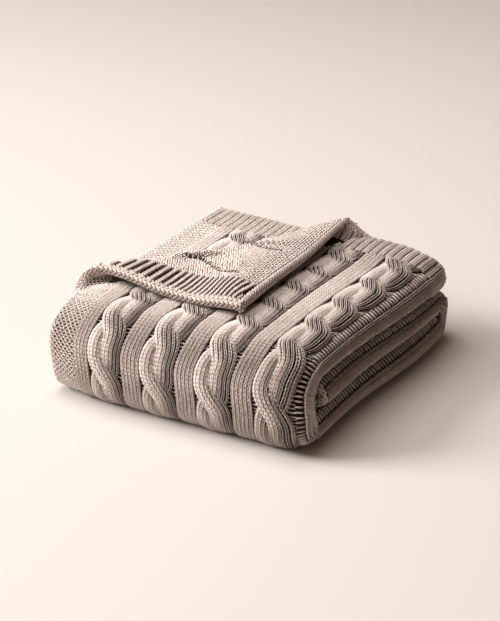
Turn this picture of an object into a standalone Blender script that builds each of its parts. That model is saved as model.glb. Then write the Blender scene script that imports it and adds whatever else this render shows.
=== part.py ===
import math

import bmesh
import bpy
import numpy as np

# A cable-knit throw in one knitted piece, folded in half along its length and
# then in three. X runs across the fold, Y from front to back, Z up. Metres.

# Knitted cloth
CLOTH_THICKNESS = 0.012
BAND_RISE = 0.0035
MOSS_RISE = 0.0020
CABLE_RISE = 0.0068
RIB_RISE = 0.0040
LADDER_RISE = 0.0005

# Pattern across the cloth, from each side edge to the lengthwise fold
MOSS_WIDTH = 0.053
BAND_WIDTH = 0.030
CABLE_WIDTH = 0.055
REPEAT_WIDTH = 0.0957
CABLES_PER_HALF = 4
CABLE_CROSSINGS = (0.0768, 0.0768, 0.0768, 0.0925)
CABLE_STARTS = (0.0740, 0.0740, 0.0720, 0.0540)
HEM_DEPTH = 0.075
RIB_PITCH = REPEAT_WIDTH / 7

# A cable's two strands, as shares of its crossing, its height and its half-width
CROSSING_START = 0.10
CROSSING_END = 0.84
STRAND_HEIGHT = 0.85
FRONT_STRAND_GAIN = 0.35
BEHIND_STRAND_DROP = 0.45
STRAND_HALF_WIDTH = 0.55

# One doubled layer, seen along Y: upper sheet, rounded fold on the right, lower sheet
LEFT_X = -0.218
SHOULDER_X = 0.193
FOLD_X = 0.220
UPPER_OFFSET = 0.0155
LOWER_OFFSET = 0.0175
FOLD_TIP_DROP = 0.005

# The doubled layer's path, seen along X: top, front turn, bottom, back turn, middle
LAYER_PITCH = 0.052
BOTTOM_Z = UPPER_OFFSET + CLOTH_THICKNESS / 2
TOP_BACK_Y = 0.272
FRONT_TURN_Y = -0.174
FRONT_TURN_DROP = 0.007
FRONT_CORNER_Y = -0.190
BACK_TURN_Y = 0.240
INNER_END_Y = -0.168

# The turned-over back left corner, in plan: the cloth leaves the layer along the ridge,
# rolls over, and lies down as a flap with three corners
CORNER = (LEFT_X, 0.282)
RIDGE_LEFT = (-0.219, -0.177)
RIDGE_BACK = (0.100, 0.272)
FLAP_LEFT = (-0.189, -0.127)
FLAP_BACK = (0.047, 0.252)
FLAP_TIP = (0.068, -0.136)
ROLL_SHARE = 0.155
ROLL_LEAN = 1.45
DEEPEST_SHARE = 0.9999
ROLL_RADIUS = {"left": 0.0205, "middle": 0.0112, "back": 0.0178}
LEFT_LIFT = {"height": 0.0060, "rise": (-0.04, 0.10), "fall": (0.12, 0.50), "slope": 0.055}
BACK_LIFT = {"height": 0.0020, "rise": (0.80, 1.00), "fall": (1.00, 1.14), "slope": 0.050}
FLAP_REST_HEIGHT = 0.0220
FLAP_SETTLE_LENGTH = 0.10
FLAP_HEM_DEPTH = 0.070
FLAP_BULGE = 0.006
FLAP_CREASE = 0.003
CREASE_TURNS = 9.0
CREASE_LEAN = 3.0
FLAP_MOSS_RISE = 0.6 * MOSS_RISE

# How the sheets close at the edges, and swell behind the ridge and at the back
SIDE_CLOSING = 0.0040
END_CLOSING = 0.0030
CLOSING_WIDTH = 0.05
BARED_GAP = 0.006
BARED_SLOPE = (-0.002, 0.050)
BACK_SWELL = 0.009
BACK_SWELL_SLOPE = (0.13, 0.25)
BACK_SWELL_SIDE = (0.15, SHOULDER_X + 0.02)
BACK_SKEW_LEFT = 0.010
BACK_SKEW_SPAN = 0.020

# Where the pattern fades out, because something covers it
FLAP_COVER_SLOPE = (0.012, 0.028)
RIDGE_SHADE = (-0.035, -0.012)
BARED_COVER_SLOPE = (0.010, 0.030)
FRONT_FADE_START = 0.78
FOLD_FADE_WIDTH = 0.02
SIDE_PATTERN_SHARE = 0.7

# The stack's slump
WAIST_SIDE = (0.05, 0.23)
WAIST_DEPTH = 0.005
WAIST_LENGTH = 0.42
WAIST_MIDDLE_Y = 0.16
WAIST_SHIFT = 0.001
LAYER_SWAY = 0.003
SWAY_HEIGHT = 0.10
SWAY_TURN = 8.0
FRONT_LEFT_PULL = 0.006
PULL_SIDE = (-0.22, -0.05)
PULL_FRONT = (0.15, 0.24)
CORNER_DROOP = 0.005
DROOP_SIDE = (0.10, 0.23)
DROOP_BACK = (0.12, 0.28)
DROOP_HEIGHT = (0.07, 0.11)
WAVE_HEIGHT = 0.0025
WAVE_SIDE = (0.02, 0.11)
WAVE_TURNS = (14.0, 11.0)
WAVE_SHIFT = 1.0

# Spacing of the points that carry the folds and the raised pattern
FINE_STEP = REPEAT_WIDTH / 14
GROOVE_HALF_WIDTH = 0.6 * FINE_STEP
FLAP_RIB_STEP = 0.0078
TURN_STEP = 0.010
COARSE_STEP = 0.022
TIP_STEP = 0.005
BARED_WIDTH = 0.27
FLAP_ROWS_STOP = 0.03
BACK_TURN_ROWS = 10
TRIANGLE_SHARE = 0.195
STRIP_HALF_WIDTH = 0.007

YARN_COLOUR = (0.42, 0.35, 0.30, 1.0)
YARN_ROUGHNESS = 0.95


def smooth(value, start, end):
    """0 below start, 1 above end, with an even S between them."""
    share = np.clip((value - start) / (end - start), 0.0, 1.0)
    return share * share * (3.0 - 2.0 * share)


def arc(centre, radii, start, end, steps=24):
    """Points on an ellipse's arc, with angles in degrees from the +first axis."""
    angles = np.radians(np.linspace(start, end, steps))
    return np.column_stack([centre[0] + radii[0] * np.cos(angles),
                            centre[1] + radii[1] * np.sin(angles)])


class Track:
    """A smooth line in a plane, read by its length from the start."""

    def __init__(self, *stretches):
        points = np.vstack(stretches)
        steps = np.linalg.norm(np.diff(points, axis=0), axis=1)
        kept = np.concatenate([[True], steps > 1e-6])
        self.points = points[kept]
        steps = np.linalg.norm(np.diff(self.points, axis=0), axis=1)
        self.lengths = np.concatenate([[0.0], np.cumsum(steps)])
        tangents = np.gradient(self.points, self.lengths, axis=0)
        self.tangents = tangents / np.linalg.norm(tangents, axis=1)[:, None]

    @property
    def length(self):
        return self.lengths[-1]

    def point(self, distance):
        return [np.interp(distance, self.lengths, self.points[:, k]) for k in (0, 1)]

    def tangent(self, distance):
        first, second = [np.interp(distance, self.lengths, self.tangents[:, k]) for k in (0, 1)]
        size = np.hypot(first, second)
        return first / size, second / size


def straight(start, end, steps=30):
    return np.linspace(start, end, steps)


def doubled_section():
    """The doubled layer's half-outline in (x, height over the layer's middle)."""
    tip_radius = LOWER_OFFSET - FOLD_TIP_DROP
    return Track(
        straight((LEFT_X, UPPER_OFFSET), (SHOULDER_X, UPPER_OFFSET)),
        arc((SHOULDER_X, -FOLD_TIP_DROP), (FOLD_X - SHOULDER_X, UPPER_OFFSET + FOLD_TIP_DROP), 90, 0),
        arc((FOLD_X - tip_radius, -FOLD_TIP_DROP), (tip_radius, tip_radius), 0, -90),
        straight((FOLD_X - tip_radius, -LOWER_OFFSET), (LEFT_X, -LOWER_OFFSET)),
    )


def stack_path():
    """The middle of the doubled layer in (y, z), from the top layer's back end."""
    middle_z = BOTTOM_Z + LAYER_PITCH
    top_z = BOTTOM_Z + 2 * LAYER_PITCH
    half_pitch = LAYER_PITCH / 2
    belly_z = middle_z - FRONT_TURN_DROP
    corner_reach = FRONT_CORNER_Y - FRONT_TURN_Y + LAYER_PITCH
    return Track(
        straight((TOP_BACK_Y, top_z), (FRONT_TURN_Y, top_z)),
        arc((FRONT_TURN_Y, belly_z), (LAYER_PITCH, top_z - belly_z), 90, 180),
        arc((FRONT_CORNER_Y, belly_z), (corner_reach, belly_z - BOTTOM_Z), 180, 270),
        straight((FRONT_CORNER_Y, BOTTOM_Z), (BACK_TURN_Y, BOTTOM_Z)),
        arc((BACK_TURN_Y, BOTTOM_Z + half_pitch), (half_pitch, half_pitch), -90, 90),
        straight((BACK_TURN_Y, middle_z), (INNER_END_Y, middle_z)),
    )


SECTION = doubled_section()
PATH = stack_path()
FLAT_WIDTH = SECTION.length
FLAT_LENGTH = PATH.length
UPPER_END = SHOULDER_X - LEFT_X
SECTION_APEX = float(SECTION.lengths[np.argmax(SECTION.points[:, 0])])
TOP_LENGTH = TOP_BACK_Y - FRONT_TURN_Y
BACK_TURN_END = FLAT_LENGTH - (BACK_TURN_Y - INNER_END_Y)
BOTTOM_END = BACK_TURN_END - math.pi * LAYER_PITCH / 2
FRONT_TURN_END = BOTTOM_END - (BACK_TURN_Y - FRONT_CORNER_Y)


def outer_runs():
    """Lengths down the stack's outer face, which is longer than the path at its turns."""
    stand_off = UPPER_OFFSET + CLOTH_THICKNESS / 2
    face_y = PATH.points[:, 0] + stand_off * PATH.tangents[:, 1]
    face_z = PATH.points[:, 1] - stand_off * PATH.tangents[:, 0]
    steps = np.hypot(np.diff(face_y), np.diff(face_z))
    return np.concatenate([[0.0], np.cumsum(steps)])


OUTER_RUNS = outer_runs()


def ridge_frame():
    """Unit vectors along the ridge and away from the flap, and the ridge's length."""
    start, end = np.array(RIDGE_LEFT), np.array(RIDGE_BACK)
    length = np.linalg.norm(end - start)
    along = (end - start) / length
    away = np.array([-along[1], along[0]])
    return start, along, away, length


def ridge_coordinates(x, y):
    """Distance along the ridge and distance past it, towards the corner."""
    start, along, away, _ = ridge_frame()
    across_x, across_y = x - start[0], y - start[1]
    return across_x * along[0] + across_y * along[1], across_x * away[0] + across_y * away[1]


def near_ends(share):
    """Weights of the ridge's left end and of its back end, both 0 in its middle."""
    return np.clip(1.0 - 2.0 * share, 0.0, 1.0) ** 2, np.clip(2.0 * share - 1.0, 0.0, 1.0) ** 2


def roll_radius(share):
    left, back = near_ends(share)
    middle = ROLL_RADIUS["middle"]
    return middle + (ROLL_RADIUS["left"] - middle) * left + (ROLL_RADIUS["back"] - middle) * back


def ridge_lift(share):
    """How far the ridge stands off the layer, and how wide the slope up to it is."""

    def hump(values):
        return values["height"] * smooth(share, *values["rise"]) * (1.0 - smooth(share, *values["fall"]))

    width = np.where(share < 0.5, LEFT_LIFT["slope"], BACK_LIFT["slope"])
    return hump(LEFT_LIFT) + hump(BACK_LIFT), width


def turn_corner(x, y, z, lift):
    """Roll what lies past the ridge over it, and lay the rest down as the flap."""
    _, _, away, ridge_length = ridge_frame()
    on_ridge, past = ridge_coordinates(x, y)
    corner_on, corner_past = ridge_coordinates(*CORNER)
    _, tip_past = ridge_coordinates(*FLAP_TIP)
    depth = np.clip(past / corner_past, 0.0, DEEPEST_SHARE)
    width = ridge_length * (1.0 - depth)
    share = np.clip((on_ridge - corner_on * depth) / width, 0.0, 1.0)

    turned = np.clip(depth / ROLL_SHARE, 0.0, 1.0)
    laid = np.clip((depth - ROLL_SHARE) / (1.0 - ROLL_SHARE), 0.0, 1.0)
    ridge_share = share + (corner_on / ridge_length - share) * np.minimum(depth, ROLL_SHARE)
    radius = roll_radius(ridge_share)
    lifted, _ = ridge_lift(ridge_share)
    angle = math.pi * turned
    inside = radius - lift
    roll_past = inside * np.sin(angle) * (turned < 1.0)
    settled = smooth(-tip_past * laid, 0.0, FLAP_SETTLE_LENGTH)
    flap_rise = (lifted + 2.0 * radius) * (1.0 - settled) + FLAP_REST_HEIGHT * settled - lift
    roll_rise = lifted + radius - inside * np.cos(angle)
    rise = np.where(turned < 1.0, roll_rise, flap_rise)
    bulge = FLAP_BULGE * np.sin(math.pi * laid) * share ** 2
    fold_wave = 1.0 + np.cos(CREASE_TURNS * share + CREASE_LEAN * laid)
    crease = FLAP_CREASE * np.sin(math.pi * laid) * fold_wave

    def turned_place(axis):
        leaves = RIDGE_LEFT[axis] + (RIDGE_BACK[axis] - RIDGE_LEFT[axis]) * share
        lands = FLAP_LEFT[axis] + (FLAP_BACK[axis] - FLAP_LEFT[axis]) * share
        rolled = leaves + (lands - leaves) * turned ** ROLL_LEAN
        return rolled + (FLAP_TIP[axis] - lands) * laid + away[axis] * roll_past

    return turned_place(0) + bulge, turned_place(1), z - lift + rise + crease


def strand_round(value):
    """A strand's round cross-section: 1 on its middle line, 0 at its edges."""
    return np.sqrt(np.clip(1.0 - value * value, 0.0, 1.0))


def cable_rise(number, across, along):
    """Two strands that change places at each crossing, the left one in front."""
    number = np.clip(number, 0, CABLES_PER_HALF - 1).astype(int)
    run = np.interp(along, PATH.lengths, OUTER_RUNS)
    cycle = (run - np.array(CABLE_STARTS)[number]) / np.array(CABLE_CROSSINGS)[number]
    cycle = cycle - np.floor(cycle)
    shift = smooth(cycle, CROSSING_START, CROSSING_END) - 0.5
    lean = np.sin(math.pi * cycle)
    front_height = STRAND_HEIGHT + FRONT_STRAND_GAIN * lean
    behind_height = STRAND_HEIGHT - BEHIND_STRAND_DROP * lean
    front = front_height * strand_round((across - shift) / STRAND_HALF_WIDTH)
    behind = behind_height * strand_round((across + shift) / STRAND_HALF_WIDTH)
    return CABLE_RISE * np.maximum(front, behind)


def side_pattern(across, along):
    """Height of the knitted pattern at a distance from the nearer side edge."""
    rise = np.where(across < MOSS_WIDTH, MOSS_RISE, BAND_RISE)
    cables_start = MOSS_WIDTH + BAND_WIDTH
    place = across - cables_start
    cable = np.floor(place / REPEAT_WIDTH)
    offset = place - cable * REPEAT_WIDTH
    on_cable = (place >= 0) & (cable < CABLES_PER_HALF) & (offset < CABLE_WIDTH)
    strand_side = 2.0 * offset / CABLE_WIDTH - 1.0
    rise = np.where(on_cable, cable_rise(cable, strand_side, along), rise)
    from_cable = np.minimum(np.abs(offset), np.abs(offset - CABLE_WIDTH))
    from_cable = np.minimum(from_cable, np.abs(offset - REPEAT_WIDTH))
    in_groove = (place > -GROOVE_HALF_WIDTH) & (from_cable < GROOVE_HALF_WIDTH)
    rise = np.where(in_groove & (cable < CABLES_PER_HALF), 0.0, rise)
    last_cable_end = (CABLES_PER_HALF - 1) * REPEAT_WIDTH + CABLE_WIDTH
    ladder = place > last_cable_end + GROOVE_HALF_WIDTH
    ladder = ladder & (across < SECTION_APEX - STRIP_HALF_WIDTH)
    return np.where(ladder, LADDER_RISE, rise)


def rib_rise(distance, pitch):
    wave = np.cos(2.0 * math.pi * distance / pitch)
    return RIB_RISE * (0.5 + 0.5 * wave)


def inside_flap(x, y):
    """Distances from the flap's front edge and from its right edge, in plan."""

    def from_line(start, end):
        reach = math.dist(start, end)
        along_x, along_y = (end[0] - start[0]) / reach, (end[1] - start[1]) / reach
        return (y - start[1]) * along_x - (x - start[0]) * along_y

    return from_line(FLAP_LEFT, FLAP_TIP), from_line(FLAP_TIP, FLAP_BACK)


def outer_share(along, x, y, upper):
    """How much of the pattern the outer face shows: 1 in full, 0 where it is hidden."""
    on_top = upper & (along <= TOP_LENGTH)
    _, past = ridge_coordinates(x, y)
    from_front, from_right = inside_flap(x, y)
    covered = smooth(np.minimum(from_front, from_right), *FLAP_COVER_SLOPE)
    shaded = smooth(past, *RIDGE_SHADE)
    top_share = 1.0 - np.maximum(covered, shaded) * on_top
    fade_start = TOP_LENGTH + FRONT_FADE_START * (FRONT_TURN_END - TOP_LENGTH)
    top_share = top_share * (1.0 - smooth(along, fade_start, FRONT_TURN_END))

    side_share = SIDE_PATTERN_SHARE * smooth(x, SHOULDER_X - FOLD_FADE_WIDTH, SHOULDER_X)
    on_floor = (along > FRONT_TURN_END) & (along < BOTTOM_END)
    side_share = np.where(on_floor, side_share * smooth(x, SHOULDER_X, FOLD_X), side_share)
    return np.where(along < FRONT_TURN_END, top_share, side_share) * upper


def flap_pattern(across, along):
    """Height on the flap's face: a ribbed hem along its front edge, then moss."""
    hem_end = FLAP_HEM_DEPTH / math.dist(FLAP_BACK, FLAP_TIP) * (RIDGE_BACK[0] - LEFT_X)
    ribs = rib_rise(along, 2 * FLAP_RIB_STEP)
    return np.where(across < hem_end * (1.0 - ROLL_SHARE), ribs, FLAP_MOSS_RISE)


def pattern_rise(across, along, outer):
    """Raised pattern on the faces that show; hidden faces stay plain."""
    x, _ = SECTION.point(across)
    y, _ = PATH.point(along)
    upper = across <= FLAT_WIDTH / 2
    mirrored = np.minimum(across, FLAT_WIDTH - across)
    ribs = rib_rise(mirrored - MOSS_WIDTH - BAND_WIDTH, RIB_PITCH)
    base = np.where(along < HEM_DEPTH, ribs, side_pattern(mirrored, along))

    _, past = ridge_coordinates(x, y)
    _, corner_past = ridge_coordinates(*CORNER)
    on_top = along <= TOP_LENGTH
    on_flap = on_top & upper & (past > ROLL_SHARE * corner_past)
    bared = np.where(on_top & ~upper, base * smooth(past, *BARED_COVER_SLOPE), 0.0)
    inner = np.where(on_flap, flap_pattern(across, along), bared)
    return np.where(outer, base * outer_share(along, x, y, upper), inner)


def drape(across, along, outer):
    """Carry points of the flat cloth to their folded place."""
    half = CLOTH_THICKNESS / 2
    rise = pattern_rise(across, along, outer)
    lift = np.where(outer, half + rise, -half - rise)
    x, offset = SECTION.point(across)
    section_tangent = SECTION.tangent(across)
    y, z = PATH.point(along)
    path_tangent = PATH.tangent(along)
    upper = across <= FLAT_WIDTH / 2

    # The sheets close towards the side edges and towards the two end hems.
    from_side = np.minimum(across, FLAT_WIDTH - across)
    closing = SIDE_CLOSING * (1.0 - smooth(from_side, 0.0, CLOSING_WIDTH))
    from_end = np.minimum(along, FLAT_LENGTH - along)
    end_closing = END_CLOSING * (1.0 - smooth(from_end, 0.0, CLOSING_WIDTH))
    closing = np.maximum(closing, end_closing)
    offset = offset * (1.0 - closing / UPPER_OFFSET)

    # The bared part of the top layer's lower sheet swells up behind the ridge.
    on_top = along <= TOP_LENGTH
    _, past = ridge_coordinates(x, y)
    swell = (LOWER_OFFSET + UPPER_OFFSET - BARED_GAP) * smooth(past, *BARED_SLOPE)
    offset = offset + np.where(on_top & ~upper, swell, 0.0)
    loose = BACK_SWELL * smooth(y, *BACK_SWELL_SLOPE) * (1.0 - smooth(x, *BACK_SWELL_SIDE))
    offset = offset + np.where(on_top & upper, loose, 0.0)

    # The top layer's back end runs a little askew.
    skew = BACK_SKEW_LEFT - BACK_SKEW_SPAN * (x - LEFT_X) / (FOLD_X - LEFT_X)
    skew = np.where(on_top, skew * (1.0 - along / TOP_LENGTH) ** 2, 0.0)

    new_x = x + lift * -section_tangent[1]
    stand_off = offset + lift * section_tangent[0]
    flat_y = y + skew
    new_y = flat_y + stand_off * path_tangent[1]
    new_z = z + stand_off * -path_tangent[0]
    turned_x, turned_y, turned_z = turn_corner(x, flat_y, new_z, lift)
    on_ridge, past = ridge_coordinates(x, flat_y)
    lifted, slope_width = ridge_lift(on_ridge / ridge_frame()[3])
    slope = lifted * smooth(past, -slope_width, 0.0)
    new_z = new_z + np.where(on_top & upper, slope, 0.0)
    rolled = on_top & upper & (past > 0.0)
    new_x = np.where(rolled, turned_x, new_x)
    new_y = np.where(rolled, turned_y, new_y)
    new_z = np.where(rolled, turned_z, new_z)
    return slump(new_x, new_y, new_z)


def slump(x, y, z):
    """The stack's soft unevenness: a waisted side, a drooping corner, waves, a flat base."""
    waist = WAIST_DEPTH * np.cos(2.0 * math.pi * (y - WAIST_MIDDLE_Y) / WAIST_LENGTH)
    new_x = x + smooth(x, *WAIST_SIDE) * (waist + WAIST_SHIFT)
    new_x = new_x + LAYER_SWAY * np.sin(2.0 * math.pi * z / SWAY_HEIGHT + SWAY_TURN * y)
    pull = (1.0 - smooth(x, *PULL_SIDE)) * smooth(-y, *PULL_FRONT)
    new_y = y + FRONT_LEFT_PULL * pull
    droop = smooth(x, *DROOP_SIDE) * smooth(y, *DROOP_BACK) * smooth(z, *DROOP_HEIGHT)
    waves = np.sin(WAVE_TURNS[0] * x + WAVE_SHIFT) * np.cos(WAVE_TURNS[1] * y)
    waves = WAVE_HEIGHT * waves * smooth(z, *WAVE_SIDE)
    new_z = np.maximum(z - CORNER_DROOP * droop + waves, 0.0)
    return new_x, new_y, new_z


def steps_between(start, end, spacing):
    """Even places after start and before end, about a spacing apart."""
    count = max(2, round((end - start) / spacing) + 1)
    return np.linspace(start, end, count)[1:-1]


def column_places():
    """Distances across the flat cloth: pattern steps where it shows, wide ones elsewhere."""
    start = (MOSS_WIDTH + BAND_WIDTH) % FINE_STEP
    upper = np.arange(start, SECTION_APEX, FINE_STEP)
    bared = FLAT_WIDTH - upper[upper < BARED_WIDTH][::-1]
    fold = steps_between(upper[-1], FLAT_WIDTH - UPPER_END, TIP_STEP)
    hidden = steps_between(fold[-1], bared[0], COARSE_STEP)
    return np.concatenate([[0.0], upper, fold, hidden, bared, [FLAT_WIDTH]])


def row_places():
    """Distances along the flat cloth, close on the top layer and around the turns."""
    flap = np.arange(0.0, TOP_LENGTH - FLAP_ROWS_STOP, FLAP_RIB_STEP)
    front = steps_between(flap[-1], FRONT_TURN_END, TURN_STEP)
    bottom = steps_between(front[-1], BOTTOM_END, COARSE_STEP)
    back = np.linspace(BOTTOM_END, BACK_TURN_END, BACK_TURN_ROWS)
    middle = steps_between(BACK_TURN_END, FLAT_LENGTH, COARSE_STEP)
    return np.concatenate([flap, front, bottom, back, middle, [FLAT_LENGTH]])


def flat_cloth():
    """A flat slab: a grid and its copy below it, joined around the rim."""
    columns, rows = column_places(), row_places()
    cloth = bmesh.new()
    bmesh.ops.create_grid(cloth, x_segments=len(columns) - 1, y_segments=len(rows) - 1, size=0.5)
    for vertex in cloth.verts:
        column = round((vertex.co.x + 0.5) * (len(columns) - 1))
        row = round((vertex.co.y + 0.5) * (len(rows) - 1))
        vertex.co = (columns[column], rows[row], 1.0)
    lower = bmesh.ops.extrude_face_region(cloth, geom=cloth.faces[:], use_keep_orig=True)
    for item in lower["geom"]:
        if isinstance(item, bmesh.types.BMVert):
            item.co.z = -1.0
    return cloth


def yarn_material():
    material = bpy.data.materials.new("heathered_yarn")
    material.use_nodes = True
    shader = material.node_tree.nodes["Principled BSDF"]
    shader.inputs["Base Color"].default_value = YARN_COLOUR
    shader.inputs["Roughness"].default_value = YARN_ROUGHNESS
    shader.inputs["Metallic"].default_value = 0.0
    return material


def centre_over_origin(places):
    """Put the origin on the floor under the middle of the blanket."""
    middle = (places.min(axis=0) + places.max(axis=0)) / 2
    return places - [middle[0], middle[1], 0.0]


def build_blanket(collection):
    cloth = flat_cloth()
    flat = np.array([vertex.co for vertex in cloth.verts])
    places = np.column_stack(drape(flat[:, 0], flat[:, 1], flat[:, 2] > 0.0))
    for vertex, place in zip(cloth.verts, centre_over_origin(places)):
        vertex.co = place
    bmesh.ops.recalc_face_normals(cloth, faces=cloth.faces[:])
    mesh = bpy.data.meshes.new("knit_blanket")
    cloth.to_mesh(mesh)
    cloth.free()
    mesh.materials.append(yarn_material())
    mesh.shade_smooth()
    blanket = bpy.data.objects.new("knit_blanket", mesh)
    collection.objects.link(blanket)
    thin = blanket.modifiers.new("fewer_triangles", "DECIMATE")
    thin.decimate_type = "COLLAPSE"
    thin.ratio = TRIANGLE_SHARE
    thin.use_collapse_triangulate = True
    return blanket


def main():
    for item in list(bpy.data.objects):
        bpy.data.objects.remove(item, do_unlink=True)
    collection = bpy.data.collections.new("chunky_knit_blanket")
    bpy.context.scene.collection.children.link(collection)
    build_blanket(collection)


main()
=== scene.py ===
import math

import bmesh
import bpy
import numpy as np
from mathutils import Matrix, Vector


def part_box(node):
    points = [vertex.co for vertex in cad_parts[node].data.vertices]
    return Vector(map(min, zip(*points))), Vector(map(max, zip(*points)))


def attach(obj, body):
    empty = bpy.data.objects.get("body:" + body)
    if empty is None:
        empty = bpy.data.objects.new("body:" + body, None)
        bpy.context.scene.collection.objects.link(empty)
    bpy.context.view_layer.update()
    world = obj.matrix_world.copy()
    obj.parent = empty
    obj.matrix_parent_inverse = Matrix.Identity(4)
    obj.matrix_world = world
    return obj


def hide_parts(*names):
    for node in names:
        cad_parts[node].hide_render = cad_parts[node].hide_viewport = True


# A cable-knit throw, folded in half along its length and then in three, with the
# back left corner of the top layer turned over. The cloth and every stitch on it
# are laid out flat and then carried to the folds. A flat place is (across, along,
# lift): lift is measured from the middle of the cloth, positive on the outer face.
# Metres throughout.

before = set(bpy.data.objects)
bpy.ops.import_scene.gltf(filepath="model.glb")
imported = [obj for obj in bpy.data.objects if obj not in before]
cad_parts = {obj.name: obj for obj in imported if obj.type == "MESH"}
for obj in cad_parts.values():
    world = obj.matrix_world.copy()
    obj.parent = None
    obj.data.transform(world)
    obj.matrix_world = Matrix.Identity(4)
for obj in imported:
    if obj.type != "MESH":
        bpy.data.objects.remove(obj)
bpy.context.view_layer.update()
bpy.ops.object.select_all(action="DESELECT")
print("frame loaded:", ", ".join(sorted(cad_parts)))

cloth = {
    "half": 0.006,            # half the cloth's thickness
    "mossWidth": 0.053,       # seed-stitch border along each side
    "firstBand": 0.030,       # plain knit between the border and the first cable
    "cableWidth": 0.055,
    "repeat": 0.0957,         # from one cable to the next
    "cables": 4,              # on each half of the cloth
    # length of cloth from one crossing to the next, and the first one's start, for each cable
    "crossings": (0.0768, 0.0768, 0.0768, 0.0925),
    "firstCrossings": (0.0740, 0.0740, 0.0720, 0.0540),
    "hem": 0.075,             # ribbed hem at each end
    "castOff": (0.003, 0.020), "castOffShare": 0.15,      # its ribs flatten towards the end
    "rowHeight": 0.0060, "endMargin": 0.01,     # no rows of stitches in the last centimetre
    "baredCables": 2, "baredCycles": 6,         # cables bared by the corner, and their crossings
    "mossRise": 0.0020, "bandRise": 0.0035, "cableRise": 0.0055, "ribRise": 0.0040,
}
cloth["cableStart"] = cloth["mossWidth"] + cloth["firstBand"]
cloth["ribPitch"] = cloth["repeat"] / 7

# The doubled layer seen from the front, and the path that it takes up the stack
stack = {
    "leftX": -0.218, "shoulderX": 0.193, "foldX": 0.220,
    "upperOffset": 0.0155, "lowerOffset": 0.0175, "tipDrop": 0.005,
    "pitch": 0.052, "bottomZ": 0.0215, "topBackY": 0.272,
    "frontTurnY": -0.174, "frontDrop": 0.007, "frontCornerY": -0.190,
    "backTurnY": 0.240, "innerEndY": -0.168,
    "middle": (0.00526, 0.01767),     # the drawing's middle, which goes over the origin
}

# The turned-over corner, in plan: the cloth leaves the layer along its ridge, rolls
# over, and lies down as a flap with three corners
corner = {
    "place": (-0.218, 0.282), "ridgeLeft": (-0.219, -0.177), "ridgeBack": (0.100, 0.272),
    "flapLeft": (-0.189, -0.127), "flapBack": (0.047, 0.252), "tip": (0.068, -0.136),
    "rollShare": 0.155, "lean": 1.45,
    "radius": {"left": 0.0205, "middle": 0.0112, "back": 0.0178},
    "leftLift": {"height": 0.0060, "rise": (-0.04, 0.10), "fall": (0.12, 0.50), "slope": 0.055},
    "backLift": {"height": 0.0020, "rise": (0.80, 1.00), "fall": (1.00, 1.14), "slope": 0.050},
    "restHeight": 0.022, "settleLength": 0.10, "bulge": 0.006,
    "crease": 0.003, "creaseTurns": 9.0, "creaseLean": 3.0,
}

ease = {
    "sideClosing": 0.0040, "endClosing": 0.0030, "closingWidth": 0.05,
    "baredGap": 0.006, "baredSlope": (-0.002, 0.050),
    "backSwell": 0.009, "swellY": (0.13, 0.25), "swellX": (0.15, 0.213),
    "skewLeft": 0.010, "skewSpan": 0.020,
    "waistX": (0.05, 0.23), "waist": 0.005, "waistLength": 0.42, "waistY": 0.16, "waistShift": 0.001,
    "sway": 0.003, "swayHeight": 0.10, "swayTurn": 8.0,
    "pull": 0.006, "pullX": (-0.22, -0.05), "pullFront": (0.15, 0.24),
    "droop": 0.005, "droopX": (0.10, 0.23), "droopY": (0.12, 0.28), "droopZ": (0.07, 0.11),
    "wave": 0.0025, "waveZ": (0.02, 0.11), "waveTurns": (14.0, 11.0), "waveShift": 1.0,
}


def smooth(value, start, end):
    share = np.clip((value - start) / (end - start), 0.0, 1.0)
    return share * share * (3.0 - 2.0 * share)


# rises from 0 at the start to 1 and falls back: each of the two is a start and an end
def hump(value, rise, fall):
    return smooth(value, *rise) * (1.0 - smooth(value, *fall))


# a line in a plane, read by its length; it runs straight on past its ends
class Track:
    def __init__(self, *stretches):
        points = np.vstack(stretches)
        steps = np.linalg.norm(np.diff(points, axis=0), axis=1)
        self.points = points[np.concatenate([[True], steps > 1e-6])]
        steps = np.linalg.norm(np.diff(self.points, axis=0), axis=1)
        self.lengths = np.concatenate([[0.0], np.cumsum(steps)])
        slopes = np.gradient(self.points, self.lengths, axis=0)
        self.slopes = slopes / np.linalg.norm(slopes, axis=1)[:, None]
        self.length = self.lengths[-1]

    def slope(self, distance):
        first, second = [np.interp(distance, self.lengths, self.slopes[:, k]) for k in (0, 1)]
        size = np.hypot(first, second)
        return first / size, second / size

    def point(self, distance):
        beyond = distance - np.clip(distance, 0.0, self.length)
        slope = self.slope(distance)
        return [np.interp(distance, self.lengths, self.points[:, k]) + beyond * slope[k] for k in (0, 1)]


def arc(centre, radii, start, end):
    angles = np.radians(np.linspace(start, end, 60))
    return np.column_stack([centre[0] + radii[0] * np.cos(angles), centre[1] + radii[1] * np.sin(angles)])


def straight(start, end):
    return np.linspace(start, end, 30)


def doubledSection():
    s = stack
    tipRadius = s["lowerOffset"] - s["tipDrop"]
    tipX = s["foldX"] - tipRadius
    shoulder = (s["foldX"] - s["shoulderX"], s["upperOffset"] + s["tipDrop"])
    return Track(
        straight((s["leftX"], s["upperOffset"]), (s["shoulderX"], s["upperOffset"])),
        arc((s["shoulderX"], -s["tipDrop"]), shoulder, 90, 0),
        arc((tipX, -s["tipDrop"]), (tipRadius, tipRadius), 0, -90),
        straight((tipX, -s["lowerOffset"]), (s["leftX"], -s["lowerOffset"])),
    )


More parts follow.
